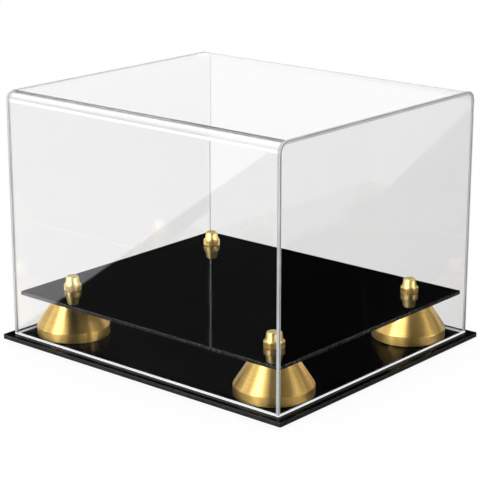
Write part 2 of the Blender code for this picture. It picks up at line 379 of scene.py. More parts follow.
@dataclass(frozen=True)
class TurnedGold(Finish):
    """Gold-anodised aluminium off the lathe: the tool's fine rings go round it."""

    colour: str = "#E7C478"
    shade: str = "#DDB666"
    roughness: float = 0.34
    ring_mm: float = 0.5
    ring_depth_mm: float = 0.002
    ring_stretch: Vector3 = (0.01, 0.01, 1)
    stretch: float = 0.85
    quarter_turn: float = 0.25

    def dress(self, tree: bpy.types.NodeTree, shader: bpy.types.Node) -> None:
        """Sets a metal whose rings blur its gloss along the axis more than round it.

        Args:
            tree: the material's tree.
            shader: its Principled BSDF.
        """
        shader.inputs["Metallic"].default_value = 1.0
        shader.inputs["Anisotropic"].default_value = self.stretch
        shader.inputs["Anisotropic Rotation"].default_value = self.quarter_turn
        turning = add_node(tree, "ShaderNodeTangent", {"direction_type": "RADIAL", "axis": "Z"})
        tree.links.new(turning.outputs[0], shader.inputs["Tangent"])
        # The rings follow height alone, so their noise is squeezed to almost nothing sideways.
        rings = noise(tree, object_position(tree, self.ring_stretch), self.ring_mm, 2.0)
        self.colour_by(tree, shader, smooth_step(tree, rings, 0.3, 0.7), self.colour, self.shade)
        self.roughen(tree, shader, rings, (0.25, 0.75), (self.roughness * 0.85, self.roughness * 1.15))
        self.relief(tree, shader, rings, self.ring_depth_mm)


@dataclass(frozen=True)
class ZincPlate(Finish):
    """Bright zinc plate on steel: pale grey, with soft cloudy patches."""

    colour: str = "#C9CCD0"
    cloud: str = "#A9ADB3"
    cloud_mm: float = 1.6

    def dress(self, tree: bpy.types.NodeTree, shader: bpy.types.Node) -> None:
        """Sets a metal with cloudy roughness and colour.

        Args:
            tree: the material's tree.
            shader: its Principled BSDF.
        """
        shader.inputs["Metallic"].default_value = 1.0
        clouds = noise(tree, object_position(tree), self.cloud_mm)
        self.colour_by(tree, shader, clouds, self.colour, self.cloud)
        self.roughen(tree, shader, clouds, (0.3, 0.7), (0.22, 0.38))


@dataclass(frozen=True)
class MouldedRubber(Finish):
    """Black moulded rubber: matt, with the fine grain of its mould."""

    colour: str = "#161616"
    worn: str = "#232323"
    grain_mm: float = 0.35
    grain_depth_mm: float = 0.03

    def dress(self, tree: bpy.types.NodeTree, shader: bpy.types.Node) -> None:
        """Sets a matt black with a grained bump.

        Args:
            tree: the material's tree.
            shader: its Principled BSDF.
        """
        grain = noise(tree, object_position(tree), self.grain_mm, 2.0)
        self.colour_by(tree, shader, grain, self.colour, self.worn)
        self.roughen(tree, shader, grain, (0.3, 0.7), (0.65, 0.85))
        self.relief(tree, shader, grain, self.grain_depth_mm)


# The cover is clear on its flats, hazy where the heater bent it, frosted along its feet, and scraped
# round the edges that are bonded. The scraped rims are coloured grey, partly the scrape's milk and partly
# painted shade; their arrises turn the light away and are coloured darkest, as painted shade.
CLEAR_SHEET = ClearSheet("clear_cast_acrylic")
HEATED_BEND = ClearSheet("heat_bent_acrylic", haze=0.16)
# The frosted foot's glow is painted light, standing for the light that the sheet brings to its edge.
FROSTED_FOOT = SawnEdge("frosted_cut_edge", clarity=0.0, roughness=0.5, glow=0.35)
# The rim's grey is partly the scrape's own milk and partly painted shade.
SCRAPED_RIM_AND_PAINTED_SHADE = SawnEdge("scraped_rim_edge", colour="#BCBFBF", cloud="#C6C9C9", clarity=0.15, roughness=0.3)
# The arrises' dark grey is painted shade, for the light they turn away.
SCRAPED_ARRIS_PAINTED_SHADE = SawnEdge("scraped_arris", colour="#5E6263", cloud="#6A6E6F", clarity=0.1, roughness=0.35)
# The platform is a deep mirror, so its index is raised over plain acrylic's. The base mirrors less.
GLOSS_BLACK = BlackSheet("black_gloss_acrylic", colour="#020203", cloud="#050506")
DULL_BLACK = BlackSheet("black_handled_acrylic", roughness=0.13, index=ACRYLIC_INDEX, gloss=0.02, smear=1.3)
DULL_EDGE = BlackEdge("black_sanded_edge", colour="#0B0B0C", roughness=0.4)
GLOSS_EDGE = BlackEdge("black_machined_edge", colour="#202022")
# The risers keep their turned satin. The finials are polished, so their rings hardly show.
SATIN_GOLD = TurnedGold("satin_turned_gold")
BRIGHT_GOLD = TurnedGold("polished_gold", colour="#F2DEAC", shade="#ECD398", roughness=0.03,
                         ring_mm=0.8, ring_depth_mm=0.0002, stretch=0.0)
ZINC = ZincPlate("bright_zinc_plate")
RUBBER = MouldedRubber("moulded_black_rubber")


# ---------------------------------------------------------------- meshes


def arc(centre: Point, radius: float, start: float, end: float, segments: int) -> list[Point]:
    """Points along an arc in a plane, with both of its ends.

    Args:
        centre: the arc's centre.
        radius: its radius.
        start: the first angle, in degrees.
        end: the last angle, in degrees.
        segments: how many straight pieces it is drawn with.

    Returns:
        The points, first to last.
    """
    found = []
    for i in range(segments + 1):
        angle = math.radians(start + (end - start) * i / segments)
        found.append((centre[0] + radius * math.cos(angle), centre[1] + radius * math.sin(angle)))
    return found


def object_from(name: str, bm: bmesh.types.BMesh, finishes: list[Finish]) -> bpy.types.Object:
    """Turns a bmesh into an object at the origin, with its normals out and its finishes in slots.

    Args:
        name: the object's name.
        bm: the bmesh, which is freed.
        finishes: the finishes, in the order of the faces' slot numbers.

    Returns:
        The object, linked to the scene.
    """
    bmesh.ops.recalc_face_normals(bm, faces=bm.faces)
    mesh = bpy.data.meshes.new(name)
    bm.to_mesh(mesh)
    bm.free()
    for finish in finishes:
        mesh.materials.append(finish.material())
    obj = add_object(name, mesh)
    soften(obj)
    return obj


def soften(obj: bpy.types.Object) -> None:
    """Shades curved faces smooth. Flat walls stay flat, or their mirror images would bend.

    Args:
        obj: an object with a mesh.
    """
    obj.data.shade_smooth()
    obj.data.set_sharp_from_angle(angle=SMOOTH_BELOW)
    for face in obj.data.polygons:
        if max(abs(part) for part in face.normal) > FLAT_WALL:
            face.use_smooth = False


def bake(obj: bpy.types.Object) -> bpy.types.Object:
    """Replaces an object's mesh by what its modifiers make, and removes them.

    Args:
        obj: the object.

    Returns:
        The same object, with a plain mesh.
    """
    bpy.context.view_layer.update()
    graph = bpy.context.evaluated_depsgraph_get()
    made = bpy.data.meshes.new_from_object(obj.evaluated_get(graph), depsgraph=graph)
    obj.modifiers.clear()
    old, obj.data = obj.data, made
    bpy.data.meshes.remove(old)
    obj.data.name = obj.name
    soften(obj)
    return obj


def remove(obj: bpy.types.Object) -> None:
    """Takes a helper object out of the file."""
    bpy.data.objects.remove(obj, do_unlink=True)


def subtract(obj: bpy.types.Object, cutters: list[bpy.types.Object]) -> bpy.types.Object:
    """Cuts holes in an object and removes the cutters.

    Args:
        obj: the object that is cut.
        cutters: closed shapes to take away from it.

    Returns:
        The object, with a plain mesh.
    """
    for cutter in cutters:
        modifier = obj.modifiers.new(cutter.name, "BOOLEAN")
        modifier.operation = "DIFFERENCE"
        modifier.object = cutter
    bake(obj)
    for cutter in cutters:
        remove(cutter)
    return obj


# ---------------------------------------------------------------- geometry node trees


class Tree:
    """A Geometry Nodes tree, with the helpers that build it and put it on an object."""

    SOCKETS = {"float": "NodeSocketFloat", "int": "NodeSocketInt", "vector": "NodeSocketVector",
               "material": "NodeSocketMaterial", "object": "NodeSocketObject"}

    def __init__(self, name: str, inputs: dict[str, str]) -> None:
        """Starts a tree with a geometry input and output.

        Args:
            name: the tree's name.
            inputs: input name to one of the kinds in SOCKETS.
        """
        self.group = bpy.data.node_groups.new(name, "GeometryNodeTree")
        self.group.interface.new_socket("Geometry", in_out="INPUT", socket_type="NodeSocketGeometry")
        for label, kind in inputs.items():
            self.group.interface.new_socket(label, in_out="INPUT", socket_type=self.SOCKETS[kind])
        self.group.interface.new_socket("Geometry", in_out="OUTPUT", socket_type="NodeSocketGeometry")
        self.inputs = self.group.nodes.new("NodeGroupInput").outputs

    def add(self, kind: str, settings: dict[str, Any] | None = None,
            links: dict[Any, Any] | None = None) -> bpy.types.Node:
        """Adds a node of a geometry kind, or of a shader kind by its full type name."""
        full = kind if kind.startswith("Shader") else "GeometryNode" + kind
        return add_node(self.group, full, settings, links)

    def maths(self, operation: str, *values: Any) -> bpy.types.NodeSocket:
        """The output of a Math node in this tree."""
        return maths(self.group, operation, *values)

    def finish(self, geometry: bpy.types.NodeSocket, finish: bpy.types.NodeSocket) -> "Tree":
        """Ends the tree in Realize Instances and Set Material.

        Args:
            geometry: what the tree has made.
            finish: the material input.

        Returns:
            This tree.
        """
        real = self.add("RealizeInstances", None, {0: geometry})
        dressed = self.add("SetMaterial", None, {"Geometry": real.outputs[0], "Material": finish})
        self.group.links.new(dressed.outputs[0], self.group.nodes.new("NodeGroupOutput").inputs[0])
        return self

    def use(self, obj: bpy.types.Object, values: dict[str, Any]) -> None:
        """Puts the tree on an object, with its inputs set by identifier.

        Args:
            obj: the object that gets the modifier.
            values: input name to value.
        """
        modifier = obj.modifiers.new(self.group.name, "NODES")
        modifier.node_group = self.group
        for item in self.group.interface.items_tree:
            if item.item_type == "SOCKET" and item.in_out == "INPUT" and item.name in values:
                modifier[item.identifier] = values[item.name]


def lathe_tree() -> Tree:
    """Turns a profile, a line of points (radius, 0, height), about a vertical axis.

    Returns:
        The tree, with inputs Axis, Segments, Rows and Finish.
    """
    tree = Tree("lathe", {"Axis": "vector", "Segments": "int", "Rows": "int", "Finish": "material"})
    given = tree.inputs
    columns = tree.maths("ADD", given["Segments"], 1)
    grid = tree.add("MeshGrid", None, {
        "Size X": 1.0, "Size Y": 1.0, "Vertices X": columns, "Vertices Y": given["Rows"],
    })
    at = tree.add("ShaderNodeSeparateXYZ", None, {0: tree.add("InputPosition").outputs[0]})
    turn = tree.maths("MULTIPLY", tree.maths("ADD", at.outputs[0], 0.5), math.tau)
    last = tree.maths("SUBTRACT", given["Rows"], 1)
    row = tree.maths("ROUND", tree.maths("MULTIPLY", tree.maths("ADD", at.outputs[1], 0.5), last))
    sample = tree.add("SampleIndex", {"data_type": "FLOAT_VECTOR", "domain": "POINT"}, {
        "Geometry": given["Geometry"], "Value": tree.add("InputPosition").outputs[0], "Index": row,
    })
    outline = tree.add("ShaderNodeSeparateXYZ", None, {0: sample.outputs[0]})
    radius, height = outline.outputs[0], outline.outputs[2]
    turned = tree.add("ShaderNodeCombineXYZ", None, {
        0: tree.maths("MULTIPLY", radius, tree.maths("COSINE", turn)),
        1: tree.maths("MULTIPLY", radius, tree.maths("SINE", turn)),
        2: height,
    })
    shaped = tree.add("SetPosition", None, {"Geometry": grid.outputs["Mesh"], "Position": turned.outputs[0]})
    closed = tree.add("MergeByDistance", None, {0: shaped.outputs[0], "Distance": SAME_PLACE})
    placed = tree.add("Transform", None, {0: closed.outputs[0], "Translation": given["Axis"]})
    return tree.finish(placed.outputs[0], given["Finish"])


def radial_tree(name: str, inputs: dict[str, str],
                change: Callable[["Tree", Any, Any, Any], bpy.types.NodeSocket]) -> Tree:
    """A tree that moves the points of a turned piece in or out from its axis.

    Args:
        name: the tree's name.
        inputs: its inputs after Axis; Finish comes last.
        change: given the tree and the sockets of a point's radius, angle and height over the
            axis's foot, returns the socket of how far it moves in.

    Returns:
        The tree.
    """
    tree = Tree(name, {"Axis": "vector", **inputs, "Finish": "material"})
    given = tree.inputs
    offset = tree.add("ShaderNodeVectorMath", {"operation": "SUBTRACT"}, {
        0: tree.add("InputPosition").outputs[0], 1: given["Axis"],
    })
    at = tree.add("ShaderNodeSeparateXYZ", None, {0: offset.outputs[0]})
    radius = tree.maths("SQRT", tree.maths("ADD", tree.maths("MULTIPLY", at.outputs[0], at.outputs[0]),
                                           tree.maths("MULTIPLY", at.outputs[1], at.outputs[1])))
    angle = tree.maths("ARCTAN2", at.outputs[1], at.outputs[0])
    inward = change(tree, radius, angle, at.outputs[2])
    move = tree.add("ShaderNodeCombineXYZ", None, {
        0: tree.maths("MULTIPLY", tree.maths("MULTIPLY", tree.maths("COSINE", angle), inward), -1),
        1: tree.maths("MULTIPLY", tree.maths("MULTIPLY", tree.maths("SINE", angle), inward), -1),
        2: 0.0,
    })
    moved = tree.add("SetPosition", None, {"Geometry": given["Geometry"], "Offset": move.outputs[0]})
    return tree.finish(moved.outputs[0], given["Finish"])


def groove_tree() -> Tree:
    """Cuts evenly spaced upright grooves into the widest part of a turned piece.

    Returns:
        The tree, with inputs Grooves, Depth, Half Width, Above Radius.
    """

    def change(tree: Tree, radius: Any, angle: Any, height: Any) -> bpy.types.NodeSocket:
        """How far a point of the collar moves in: a round-bottomed groove, or else 0.

        Args:
            tree: the tree that is built.
            radius: the point's distance from the axis.
            angle: its angle round the axis.
            height: not used.

        Returns:
            The distance.
        """
        given = tree.inputs
        turns = tree.maths("MULTIPLY", tree.maths("DIVIDE", angle, math.tau), given["Grooves"])
        away = tree.maths("ABSOLUTE", tree.maths("SUBTRACT", turns, tree.maths("ROUND", turns)))
        # The distance from the groove's middle, round the piece.
        arc_length = tree.maths("MULTIPLY", tree.maths("DIVIDE", away, given["Grooves"]),
                                tree.maths("MULTIPLY", radius, math.tau))
        share = tree.maths("SUBTRACT", 1, tree.maths("DIVIDE", arc_length, given["Half Width"]))
        inside = tree.maths("MAXIMUM", share, 0)
        round_bottom = tree.maths("SQRT", tree.maths("MULTIPLY", inside, tree.maths("SUBTRACT", 2, inside)))
        wide = tree.maths("GREATER_THAN", radius, given["Above Radius"])
        return tree.maths("MULTIPLY", tree.maths("MULTIPLY", round_bottom, given["Depth"]), wide)

    inputs = {"Grooves": "int", "Depth": "float", "Half Width": "float", "Above Radius": "float"}
    return radial_tree("collar_grooves", inputs, change)


def thread_tree() -> Tree:
    """Cuts a right-hand thread into a shank.

    Returns:
        The tree, with inputs Pitch, Depth, From Height, To Height.
    """

    def change(tree: Tree, radius: Any, angle: Any, height: Any) -> bpy.types.NodeSocket:
        """How far a point of the shank moves in: a V that climbs one pitch a turn.

        Args:
            tree: the tree that is built.
            radius: not used.
            angle: its angle round the axis.
            height: its height over the axis's foot.

        Returns:
            The distance.
        """
        given = tree.inputs
        turns = tree.maths("SUBTRACT", tree.maths("DIVIDE", height, given["Pitch"]),
                           tree.maths("DIVIDE", angle, math.tau))
        away = tree.maths("ABSOLUTE", tree.maths("SUBTRACT", turns, tree.maths("ROUND", turns)))
        valley = tree.maths("SUBTRACT", 1, tree.maths("MULTIPLY", away, 2))
        run_in = tree.maths("DIVIDE", tree.maths("SUBTRACT", height, given["From Height"]), given["Pitch"])
        run_out = tree.maths("DIVIDE", tree.maths("SUBTRACT", given["To Height"], height), given["Pitch"])
        fade = tree.maths("MINIMUM", run_in, run_out)
        full = tree.maths("MINIMUM", tree.maths("MAXIMUM", fade, 0), 1)
        return tree.maths("MULTIPLY", tree.maths("MULTIPLY", valley, given["Depth"]), full)

    inputs = {"Pitch": "float", "Depth": "float", "From Height": "float", "To Height": "float"}
    return radial_tree("screw_thread", inputs, change)


def copies_tree() -> Tree:
    """Puts a copy of one object on each point.

    Returns:
        The tree, with inputs Pattern and Finish.
    """
    tree = Tree("copies_on_points", {"Pattern": "object", "Finish": "material"})
    given = tree.inputs
    pattern = tree.add("ObjectInfo", {"transform_space": "ORIGINAL"}, {"Object": given["Pattern"]})
    links = {"Points": given["Geometry"], "Instance": pattern.outputs["Geometry"]}
    copies = tree.add("InstanceOnPoints", None, links)
    return tree.finish(copies.outputs[0], given["Finish"])


@dataclass
class Lathe:
    """The lathe: it turns outlines with the lathe tree."""

    tree: Tree = field(default_factory=lathe_tree)

    def turn(self, name: str, outline: list[Point], axis: Point, finish: Finish, segments: int = 128,
             then: Callable[[bpy.types.Object], None] | None = None) -> bpy.types.Object:
        """Turns one piece.

        Args:
            name: the piece's name.
            outline: (radius, height) points; it ends on the axis, or it comes back to its start.
            axis: the axis's place in x and y.
            finish: its finish.
            segments: how many sides it has.
            then: adds more modifiers before the mesh is baked.

        Returns:
            The piece, with a plain closed mesh.
        """
        mesh = bpy.data.meshes.new(name)
        mesh.from_pydata([(radius, 0, height) for radius, height in outline], [], [])
        obj = add_object(name, mesh)
        self.tree.use(obj, {
            "Axis": (*axis, 0.0), "Segments": segments, "Rows": len(outline), "Finish": finish.material(),
        })
        if then:
            then(obj)
        bake(obj)
        bm = bmesh.new()
        bm.from_mesh(obj.data)
        bmesh.ops.dissolve_degenerate(bm, edges=bm.edges, dist=1e-7)
        bmesh.ops.recalc_face_normals(bm, faces=bm.faces)
        bm.to_mesh(obj.data)
        bm.free()
        soften(obj)
        return obj


def spaced(points: list[Point], step: float) -> list[Point]:
    """Adds points along a line.

    Args:
        points: the line's corners.
        step: the most that two points may be apart.

    Returns:
        The same line with more points.
    """
    found = [points[0]]
    for (r0, z0), (r1, z1) in zip(points, points[1:]):
        count = max(1, math.ceil(math.hypot(r1 - r0, z1 - z0) / step))
        found += [(r0 + (r1 - r0) * i / count, z0 + (z1 - z0) * i / count) for i in range(1, count + 1)]
    return found


# ---------------------------------------------------------------- the case's sub-assemblies


class Slot(Enum):
    """The record's material slots."""

    CLEAR = "clear_acrylic"
    BLACK = "black_acrylic"
    SATIN = "satin_gold"
    POLISHED = "polished_gold"
    STEEL = "zinc_steel"
    RUBBER = "black_rubber"


def fit(piece: bpy.types.Object, body: str, nodes: list[str], slot: Slot) -> None:
    """Makes a piece ride on a body and stand for its CAD nodes.

    Args:
        piece: the finished piece.
        body: the body that it moves with.
        nodes: the CAD nodes that it replaces.
        slot: not used.
    """
    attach(piece, body)
    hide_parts(*nodes)
    LOG.info("%s: %d faces, on %s", piece.name, len(piece.data.polygons), body)


@dataclass
class Cover:
    """The lift-off cover: a sheet bent over front, top and rear, with a panel bonded to each end."""

    sheet: float = 3.0 * MM
    inner_radius: float = 6.0 * MM
    bond_gap: float = 0.05 * MM
    frost: float = 1.3 * MM
    arris: float = 0.4 * MM
    arris_segments: int = 2
    square_edge: float = math.radians(60)
    bend_segments: int = 24

    def __post_init__(self) -> None:
        """Reads the cover's place from the frame."""
        self.low, self.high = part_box("cover_wrap")
        self.end_low, self.end_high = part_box("cover_end_right")

    def bend_line(self, radius: float) -> list[Point]:
        """Draws one side of the bent sheet, from the front wall's foot to the rear wall's.

        Args:
            radius: that side's bend radius.

        Returns:
            The line's (y, z) points.
        """
        reach = self.high.y - self.sheet - self.inner_radius
        top = self.high.z - self.sheet - self.inner_radius
        line = [(-reach - radius, self.low.z)]
        line += arc((-reach, top), radius, 180, 90, self.bend_segments)
        line += arc((reach, top), radius, 90, 0, self.bend_segments)
        return [*line, (reach + radius, self.low.z)]

    def frost_foot(self, bm: bmesh.types.BMesh, slot: int) -> None:
        """Gives the lowest strip of a sheet the frosted finish.

        Args:
            bm: the sheet.
            slot: the frosted finish's slot number.
        """
        level = self.low.z + self.frost
        everything = [*bm.verts, *bm.edges, *bm.faces]
        bmesh.ops.bisect_plane(bm, geom=everything, plane_co=(0, 0, level), plane_no=(0, 0, 1))
        for face in bm.faces:
            if face.calc_center_median().z < level:
                face.material_index = slot

    def wrap(self) -> bpy.types.Object:
        """Makes the bent sheet.

        Returns:
            The sheet, clear on its flats, hazy in its bends and frosted along its feet.
        """
        half = self.end_low.x - self.bond_gap
        bm = bmesh.new()
        stations = []
        outer_radius = self.inner_radius + self.sheet
        for outer, inner in zip(self.bend_line(outer_radius), self.bend_line(self.inner_radius)):
            corners = ((-half, outer), (half, outer), (half, inner), (-half, inner))
            stations.append([bm.verts.new((x, y, z)) for x, (y, z) in corners])
        half_way = self.bend_segments + 1
        for here, there in zip(stations, stations[1:]):
            for a in range(4):
                b = (a + 1) % 4
                face = bm.faces.new((here[a], here[b], there[b], there[a]))
                # Sides 1 and 3 are the cut ends, bonded to the panels. The heater leaves the bends hazy.
                straight = here in (stations[0], stations[half_way], stations[-2])
                face.material_index = 1 if a % 2 else 0 if straight else 3
        bm.faces.new(stations[0])
        bm.faces.new(stations[-1])
        self.frost_foot(bm, 2)
        return object_from("cover_bent_sheet", bm, [CLEAR_SHEET, SCRAPED_RIM_AND_PAINTED_SHADE, FROSTED_FOOT, HEATED_BEND])

    def end_panel(self, name: str, side: int) -> bpy.types.Object:
        """Makes one flat end panel.

        Args:
            name: the piece's name.
            side: -1 for the left end, 1 for the right.

        Returns:
            The panel, with a small arris all round its rim.
        """
        inner = side * self.end_low.x
        outer = side * self.end_high.x
        outline = self.bend_line(self.inner_radius + self.sheet)
        bm = bmesh.new()
        face = bm.faces.new([bm.verts.new((inner, y, z)) for y, z in outline])
        raised = bmesh.ops.extrude_face_region(bm, geom=[face])["geom"]
        moved = [item for item in raised if isinstance(item, bmesh.types.BMVert)]
        bmesh.ops.translate(bm, verts=moved, vec=(outer - inner, 0, 0))
        bmesh.ops.recalc_face_normals(bm, faces=bm.faces)
        rims = [e for e in bm.edges if e.is_manifold and e.calc_face_angle() > self.square_edge
                and abs(e.verts[0].co.x - e.verts[1].co.x) < SAME_PLACE]
        bmesh.ops.bevel(bm, geom=rims, offset=self.arris, segments=self.arris_segments, profile=0.5,
                        affect="EDGES")
        for face in bm.faces:
            # Both big faces are clear. The rim between them is scraped and coloured grey, partly painted
            # shade, and its arrises look darker still: painted shade.
            tilt = abs(face.normal.x)
            face.material_index = 0 if tilt > 0.99 else 1 if tilt < 0.01 else 3
        self.frost_foot(bm, 2)
        return object_from(name, bm, [CLEAR_SHEET, SCRAPED_RIM_AND_PAINTED_SHADE, FROSTED_FOOT, SCRAPED_ARRIS_PAINTED_SHADE])

    def build(self) -> None:
        """Makes the three sheets, which lift off together."""
        pieces = (
            (self.wrap(), "cover_wrap"),
            (self.end_panel("cover_left_panel", -1), "cover_end_left"),
            (self.end_panel("cover_right_panel", 1), "cover_end_right"),
        )
        for piece, node in pieces:
            # Clear sheet casts no shadow worth drawing, and the lamps' light passes through it.
            piece.visible_shadow = False
            piece.visible_diffuse = False
            fit(piece, "cover", [node], Slot.CLEAR)


@dataclass
class Post:
    """One corner post: riser, finial nut and countersunk screw on one axis."""

    number: int
    lathe: Lathe
    grooves: Tree
    threads: Tree
    wall: float = 2.0 * MM
    band_height: float = 8.5 * MM
    top_diameter: float = 29.0 * MM
    riser_sides: int = 144
    top_segments: int = 5
    shoulder_radius: float = 1.0 * MM
    shoulder_segments: int = 6
    edge_radius: float = 0.4 * MM
    edge_segments: int = 4
    boss_diameter: float = 11.0 * MM
    bore: float = 4.8 * MM
    collar_height: float = 5.2 * MM
    barrel_radius: float = 6.3 * MM
    barrel_top_radius: float = 5.4 * MM
    crown_radius: float = 2.6 * MM
    crown_flat: float = 0.8
    crown_drop: float = 0.05 * MM
    crown_shoulder: float = 0.15 * MM
    crown_turn: float = 80.0
    crown_segments: int = 8
    shoulder_height: float = 2.2 * MM
    step_fillet: float = 0.15 * MM
    finial_sides: int = 288
    finial_spacing: float = 1.0 * MM
    collar_edge: float = 0.3 * MM
    groove_count: int = 12
    groove_depth: float = 0.5 * MM
    groove_half_width: float = 0.5 * MM
    groove_clearance: float = 0.3 * MM
    bore_depth: float = 7.9 * MM
    pitch: float = 0.7 * MM
    thread_depth: float = 0.38 * MM
    thread_length: float = 20.0 * MM
    points_per_pitch: int = 8
    screw_sides: int = 32
    socket_flats: float = 2.5 * MM
    socket_depth: float = 1.4 * MM
    socket_sides: int = 6
    overrun: float = 1.0 * MM
    head_rim: float = 0.3 * MM

    def __post_init__(self) -> None:
        """Reads the post's axis from its riser."""
        low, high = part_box(f"riser_{self.number}")
        self.axis: Point = ((low.x + high.x) / 2, (low.y + high.y) / 2)

    def riser(self) -> bpy.types.Object:
        """Turns the hollow cone on its straight band, with its central boss.

        Returns:
            The riser.
        """
        low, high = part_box(f"riser_{self.number}")
        radius = (high.x - low.x) / 2
        top_radius = self.top_diameter / 2
        band = low.z + self.band_height
        slope = math.degrees(math.atan2(radius - top_radius, high.z - band))
        lean = math.radians(slope)
        # Each outside corner is an arc that meets both of its neighbours without a kink.
        reach = self.shoulder_radius * math.tan(lean / 2)
        crown = self.edge_radius * math.tan((math.pi / 2 - lean) / 2)
        edge = self.edge_radius
        outline = arc((top_radius - crown, high.z - edge), edge, 90, slope, self.top_segments)
        outline += arc((radius - self.shoulder_radius, band - reach), self.shoulder_radius, slope, 0,
                       self.shoulder_segments)
        outline += arc((radius - edge, low.z + edge), edge, 0, -90, self.edge_segments)
        inner_band = band - self.wall * math.tan(lean / 2)
        roof = high.z - self.wall
        inner_top = radius - self.wall - (roof - inner_band) * math.tan(lean)
        outline += [(radius - self.wall, low.z), (radius - self.wall, inner_band), (inner_top, roof)]
        boss, bore = self.boss_diameter / 2, self.bore / 2
        outline += [(boss, roof), (boss, low.z), (bore, low.z), (bore, high.z)]
        outline.append(outline[0])
        name = f"turned_riser_{self.number}"
        return self.lathe.turn(name, outline, self.axis, SATIN_GOLD, self.riser_sides)

    def finial(self) -> bpy.types.Object:
        """Turns the nut and cuts its collar's grooves.

        Returns:
            The nut.
        """
        low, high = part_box(f"finial_{self.number}")
        collar = (high.x - low.x) / 2
        step = low.z + self.collar_height
        shoulder = high.z - self.shoulder_height
        edge = self.collar_edge
        crown = [(0.0, high.z), (self.crown_radius * self.crown_flat, high.z - self.crown_drop)]
        for i in range(self.crown_segments + 1):
            turn = math.radians(self.crown_turn - self.crown_turn * i / self.crown_segments)
            crown.append((self.crown_radius + (self.barrel_top_radius - self.crown_radius) * math.cos(turn),
                          shoulder + (self.shoulder_height - self.crown_shoulder) * math.sin(turn)))
        outline = crown + [(self.barrel_radius, step + self.step_fillet),
                           (self.barrel_radius + self.step_fillet, step)]
        outline += arc((collar - edge, step - edge), edge, 90, 0, self.edge_segments)
        outline += arc((collar - edge, low.z + edge), edge, 0, -90, self.edge_segments)
        bore = self.bore / 2
        outline += [(bore, low.z), (bore, low.z + self.bore_depth), (0.0, low.z + self.bore_depth)]

        def grooved(obj: bpy.types.Object) -> None:
            """Puts the groove tree on the nut.

            Args:
                obj: the turned nut.
            """
            self.grooves.use(obj, {
                "Axis": (*self.axis, 0.0), "Grooves": self.groove_count, "Depth": self.groove_depth,
                "Half Width": self.groove_half_width,
                "Above Radius": self.barrel_radius + self.groove_clearance,
                "Finish": BRIGHT_GOLD.material(),
            })

        name = f"finial_nut_{self.number}"
        outline = spaced(outline, self.finial_spacing)
        return self.lathe.turn(name, outline, self.axis, BRIGHT_GOLD, self.finial_sides, grooved)

    def screw(self) -> bpy.types.Object:
        """Turns the countersunk screw, threads its tip and cuts its socket.

        Returns:
            The screw, with its head at the bottom.
        """
        low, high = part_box(f"screw_{self.number}")
        head = (high.x - low.x) / 2
        shank = head / 2
        cone_top = low.z + self.head_rim + head - shank
        thread_foot = high.z - self.thread_length
        tip = self.thread_depth
        outline = [(0.0, high.z), (shank - tip, high.z)]
        threaded_length = [(shank, high.z - tip), (shank, thread_foot)]
        outline += spaced(threaded_length, self.pitch / self.points_per_pitch)
        outline += [(shank, cone_top), (head, low.z + self.head_rim), (head, low.z), (0.0, low.z)]

        def threaded(obj: bpy.types.Object) -> None:
            """Puts the thread tree on the screw.

            Args:
                obj: the turned screw.
            """
            self.threads.use(obj, {
                "Axis": (*self.axis, 0.0), "Pitch": self.pitch, "Depth": self.thread_depth,
                "From Height": thread_foot, "To Height": high.z - tip, "Finish": ZINC.material(),
            })

        name = f"post_screw_{self.number}"
        screw = self.lathe.turn(name, outline, self.axis, ZINC, self.screw_sides, threaded)
        corner = self.socket_flats / 2 / math.cos(math.pi / self.socket_sides)
        floor, mouth = low.z + self.socket_depth, low.z - self.overrun
        hexagon = [(0.0, floor), (corner, floor), (corner, mouth), (0.0, mouth)]
        socket = self.lathe.turn("socket_cutter", hexagon, self.axis, ZINC, self.socket_sides)
        return subtract(screw, [socket])

    def build(self) -> None:
        """Makes the post's three pieces."""
        number = self.number
        fit(self.riser(), "stand", [f"riser_{number}"], Slot.SATIN)
        fit(self.finial(), f"finial_{number}", [f"finial_{number}"], Slot.POLISHED)
        fit(self.screw(), f"screw_{number}", [f"screw_{number}"], Slot.STEEL)


